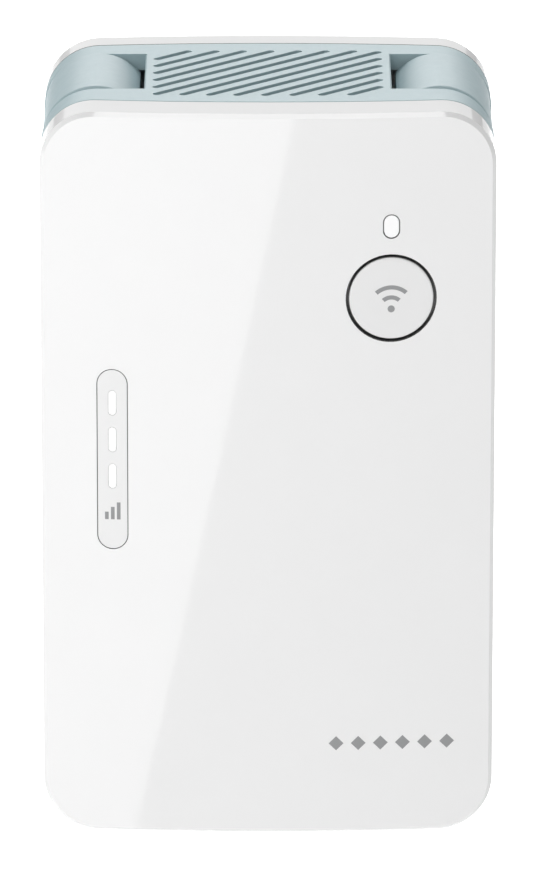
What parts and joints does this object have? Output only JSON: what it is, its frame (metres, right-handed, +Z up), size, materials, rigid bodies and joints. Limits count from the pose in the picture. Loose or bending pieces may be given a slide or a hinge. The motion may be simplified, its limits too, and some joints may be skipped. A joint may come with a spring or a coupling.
{
  "type": "wifi range extender",
  "caption": "Plug-in wifi range extender: crowned white case, pale blue vented band, flip-up side antennas, pairing button, signal window and network socket.",
  "frame": {"origin": "middle of the plug's seating face, between the two pins", "axes": "+Y into the wall socket along the pins, -Y towards the front, +Z up, +X to the right seen from the front"},
  "size_m": [0.0706, 0.0851, 0.1163],
  "materials": {
    "cover_white": "glossy",
    "band_blue": "fine satin texture",
    "arm_blue": "fine satin texture",
    "button_white": "satin gloss",
    "window_white": "glossy",
    "light_lens": "frosted translucent",
    "plug_white": "satin",
    "pin_nickel": "bright nickel",
    "label_silver": "satin film",
    "screw_steel": "zinc plated",
    "hinge_black": "moulded",
    "hinge_steel": "ground",
    "cable_black": "smooth jacket",
    "antenna_board": "solder mask",
    "board_green": "solder mask",
    "chip_black": "moulded epoxy",
    "plunger_dark": "moulded",
    "shield_tin": "tin plated",
    "heatsink_alloy": "as extruded",
    "pad_grey": "soft pad",
    "jack_black": "moulded",
    "contact_gold": "gold plated",
    "led_lens": "clear epoxy",
    "shield_white": "moulded",
    "insulation_film": "film",
    "ferrite_grey": "sintered",
    "winding_tape": "polyester tape",
    "capacitor_sleeve": "shrink sleeve",
    "fuse_body": "ceramic",
    "print_grey": "printed ink"
  },
  "bodies": {
    "housing": {"back_cover": "cover_white", "board_link_pins": "contact_gold", "board_link_socket": "chip_black", "board_screws": "screw_steel", "bridge_rectifier": "chip_black", "case_screws": "screw_steel", "choke": "ferrite_grey", "coax_connectors": "contact_gold", "coax_lead_left": "cable_black", "coax_lead_right": "cable_black", "electrolytic_capacitors": "capacitor_sleeve", "ethernet_contacts": "contact_gold", "ethernet_jack": "jack_black", "ethernet_transformer": "chip_black", "front_cover": "cover_white", "fuse": "fuse_body", "heatsink": "heatsink_alloy", "insulation_sheet": "insulation_film", "light_shield": "shield_white", "main_board": "board_green", "mains_contacts": "pin_nickel", "memory_chip": "chip_black", "middle_frame": "band_blue", "pairing_switch_body": "chip_black", "pivot_bush_left": "hinge_black", "pivot_bush_right": "hinge_black", "pivot_pin_left": "hinge_steel", "pivot_pin_right": "hinge_steel", "plug_housing": "plug_white", "plug_pin_left": "pin_nickel", "plug_pin_right": "pin_nickel", "power_board": "board_green", "power_board_screws": "screw_steel", "processor": "chip_black", "radio_chips": "chip_black", "rating_label": "label_silver", "reset_switch_body": "chip_black", "rf_shields": "shield_tin", "signal_light_guide": "light_lens", "signal_window": "window_white", "status_leds": "led_lens", "status_light_pipe": "light_lens", "suppression_capacitor": "winding_tape", "thermal_pad": "pad_grey", "transformer_core": "ferrite_grey", "transformer_winding": "winding_tape"},
    "left_antenna": {"antenna_cover_left": "arm_blue", "antenna_base_left": "arm_blue", "antenna_element_left": "antenna_board", "antenna_cable_left": "cable_black", "friction_washer_left": "hinge_steel"},
    "right_antenna": {"antenna_cover_right": "arm_blue", "antenna_base_right": "arm_blue", "antenna_element_right": "antenna_board", "antenna_cable_right": "cable_black", "friction_washer_right": "hinge_steel"},
    "pairing_button": {"pairing_button": "button_white", "pairing_switch_plunger": "plunger_dark"},
    "reset_plunger": {"reset_switch_plunger": "plunger_dark"}
  },
  "joints": [
    {"name": "left_antenna_hinge", "type": "hinge", "parent": "housing", "child": "left_antenna", "pos_m": [-0.0272, -0.0394, 0.0488], "axis": [0, 1, 0], "range_deg": [0, 180]},
    {"name": "right_antenna_hinge", "type": "hinge", "parent": "housing", "child": "right_antenna", "pos_m": [0.0272, -0.0394, 0.0488], "axis": [0, -1, 0], "range_deg": [0, 180]},
    {"name": "pairing_button_press", "type": "slide", "parent": "housing", "child": "pairing_button", "axis": [0, 1, 0], "range_m": [0, 0.00045], "stiffness_N_per_m": 800, "springref_m": -0.0005},
    {"name": "reset_press", "type": "slide", "parent": "housing", "child": "reset_plunger", "axis": [0, 0, 1], "range_m": [0, 0.0003], "stiffness_N_per_m": 800, "springref_m": -0.0003}
  ]
}
